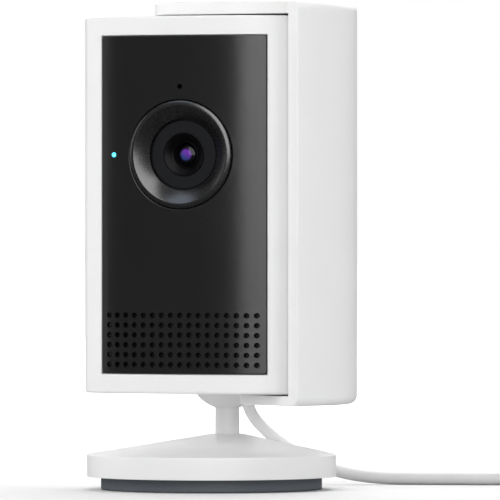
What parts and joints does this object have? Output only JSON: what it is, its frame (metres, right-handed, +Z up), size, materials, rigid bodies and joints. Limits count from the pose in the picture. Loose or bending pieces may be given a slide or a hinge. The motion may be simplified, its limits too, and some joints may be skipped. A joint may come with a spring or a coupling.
{
  "type": "security camera",
  "caption": "Tabletop security camera with a tall flush-fronted head, swivelling privacy cover, ball-jointed weighted base and USB power lead.",
  "frame": {"origin": "centre of the round base on the face it rests on", "axes": "+Z up along the head's and the privacy cover's own axis, -Y the way the lens looks, +X to the head's left hand side as it looks out"},
  "size_m": [0.127, 0.0824, 0.0958],
  "materials": {
    "white_shell": "fine matte",
    "foot_rubber": "matte",
    "face_black": "satin black",
    "lens_ring_black": "satin",
    "lens_black": "matte",
    "lens_glass": "coated",
    "light_pipe_clear": "clear, lit",
    "dark_steel": "plain",
    "screw_steel": "plated",
    "plate_steel": "tinned",
    "inner_nylon": "natural",
    "circuit_board": "solder mask",
    "chip_black": "moulded",
    "spreader_aluminium": "extruded",
    "gasket_rubber": "soft",
    "mesh_black": "fine mesh",
    "speaker_black": "moulded",
    "flex_amber": "film",
    "cord_white": "satin jacket",
    "plug_white": "overmoulded"
  },
  "bodies": {
    "stand": {"foot_pad": "foot_rubber", "base_plate": "inner_nylon", "base_cover": "white_shell", "base_weight": "dark_steel", "base_screws": "screw_steel", "neck_post": "white_shell", "neck_stud": "dark_steel", "neck_nut": "dark_steel", "joint_ball": "white_shell", "power_cord": "cord_white", "power_cord_coil": "cord_white", "usb_plug_body": "plug_white", "usb_plug_shell": "plate_steel"},
    "swivel": {"ball_liner": "inner_nylon"},
    "tilt_cup": {"pressure_cup": "inner_nylon"},
    "head": {"front_housing": "white_shell", "rear_cover": "white_shell", "faceplate": "face_black", "lens_ring": "lens_ring_black", "lens_disc": "lens_black", "lens_bowl": "lens_black", "lens_barrel": "lens_black", "lens_holder": "lens_black", "front_lens": "lens_glass", "rear_lenses": "lens_glass", "infrared_cut_filter": "lens_glass", "light_pipe": "light_pipe_clear", "clamp_screws": "screw_steel", "board_screws": "screw_steel", "cup_spring": "screw_steel", "clamp_plate": "plate_steel", "shield_can": "plate_steel", "power_socket": "plate_steel", "socket_seat": "inner_nylon", "pivot_bushes": "inner_nylon", "sensor_board": "circuit_board", "front_board": "circuit_board", "main_board": "circuit_board", "button_board": "circuit_board", "antenna": "circuit_board", "processor": "chip_black", "radio_module": "chip_black", "hall_sensor": "chip_black", "image_sensor": "chip_black", "tact_switch": "chip_black", "infrared_lights": "chip_black", "status_light": "chip_black", "microphone": "chip_black", "heat_spreader": "spreader_aluminium", "microphone_gasket": "gasket_rubber", "speaker_gasket": "gasket_rubber", "speaker_mesh": "mesh_black", "speaker": "speaker_black", "speaker_cone": "speaker_black", "flex_cable": "flex_amber", "power_plug": "plug_white"},
    "privacy_cover": {"cover_shell": "white_shell", "cover_magnet": "screw_steel", "pivot_pin": "screw_steel"},
    "button": {"setup_button": "white_shell"}
  },
  "joints": [
    {"name": "head_pan", "type": "hinge", "parent": "stand", "child": "swivel", "pos_m": [0, 0.00885, 0.0232], "axis": [0, 0, 1], "range_deg": [-60, 60], "deforming": ["power_cord"]},
    {"name": "head_tilt", "type": "hinge", "parent": "swivel", "child": "tilt_cup", "pos_m": [0, 0.00885, 0.0232], "axis": [1, 0, 0], "range_deg": [-12, 12], "deforming": ["power_cord"]},
    {"name": "head_roll", "type": "hinge", "parent": "tilt_cup", "child": "head", "pos_m": [0, 0.00885, 0.0232], "axis": [0, 1, 0], "range_deg": [-10, 10], "deforming": ["power_cord"]},
    {"name": "cover_swing", "type": "hinge", "parent": "head", "child": "privacy_cover", "pos_m": [0, 0, 0.09], "axis": [0, 0, -1], "range_deg": [0, 105]},
    {"name": "button_press", "type": "slide", "parent": "head", "child": "button", "axis": [0, -1, 0], "range_m": [0, 0.0004], "stiffness_N_per_m": 400, "springref_m": -0.0004}
  ]
}
